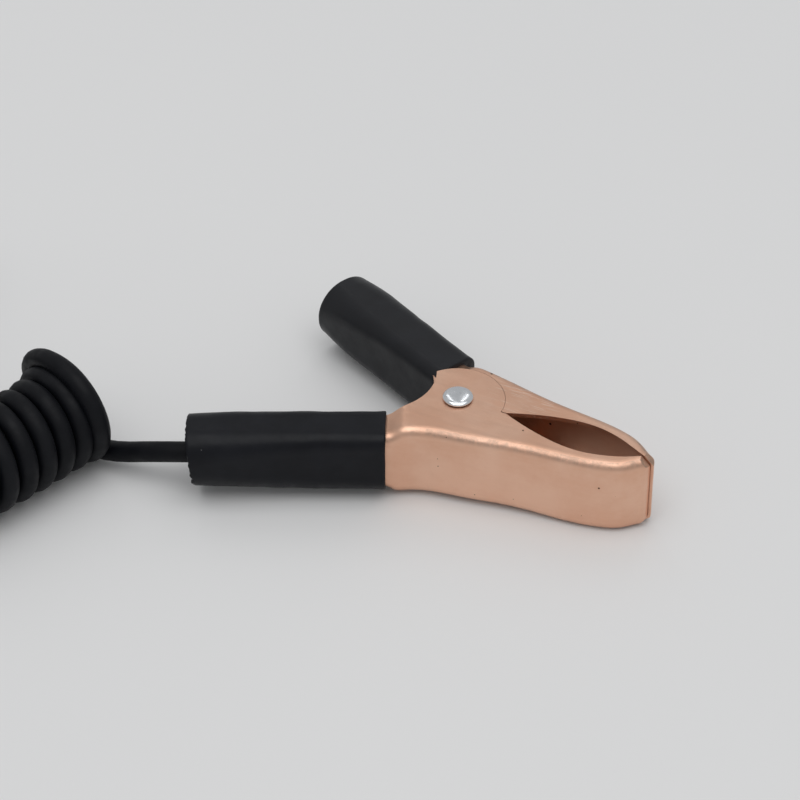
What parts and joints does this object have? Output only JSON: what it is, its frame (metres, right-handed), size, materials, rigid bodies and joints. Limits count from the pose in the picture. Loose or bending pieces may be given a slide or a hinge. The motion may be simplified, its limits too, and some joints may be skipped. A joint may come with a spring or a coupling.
{
  "type": "ground clamp",
  "caption": "Spring ground clip of two copper-plated stampings on a pivot rivet, with sleeved handles, a coiled lead and a ring terminal.",
  "frame": {"origin": "under the middle of the closed clip's bounding box, on the surface that the clip lies on (the cord isn't counted)", "axes": "+X towards the jaw tips, +Z along the pivot rivet towards its domed head, +Y from the cable half towards the lever half; the clip lies on its side"},
  "size_m": [0.1625, 0.1011, 0.0201],
  "materials": {
    "copper_plated_sheet": "copper-plated stamped steel, satin with a bright bend line",
    "bright_rivet": "polished",
    "spring_wire": "zinc-plated round wire",
    "black_sleeve": "soft PVC, satin",
    "bare_copper": "stranded, bare",
    "cord_jacket": "matt",
    "boot": "satin vinyl",
    "tinned_terminal": "tinned"
  },
  "bodies": {
    "cable_half": {"cable_jaw": "copper_plated_sheet", "pivot_rivet": "bright_rivet", "torsion_spring": "spring_wire", "cable_grip": "black_sleeve", "lead_conductor": "bare_copper", "lead_cord": "cord_jacket", "coil_cord": "cord_jacket", "tail_cord": "cord_jacket", "terminal_boot": "boot", "ring_terminal": "tinned_terminal"},
    "lever_half": {"lever_jaw": "copper_plated_sheet", "lever_grip": "black_sleeve"}
  },
  "joints": [
    {"name": "jaw_pivot", "type": "hinge", "parent": "cable_half", "child": "lever_half", "pos_m": [0.0028, 0.0014, 0.0076], "axis": [0, 0, 1], "range_deg": [0, 42], "stiffness_Nm_per_rad": 0.35, "springref_deg": -34.38, "deforming": ["torsion_spring"]}
  ]
}
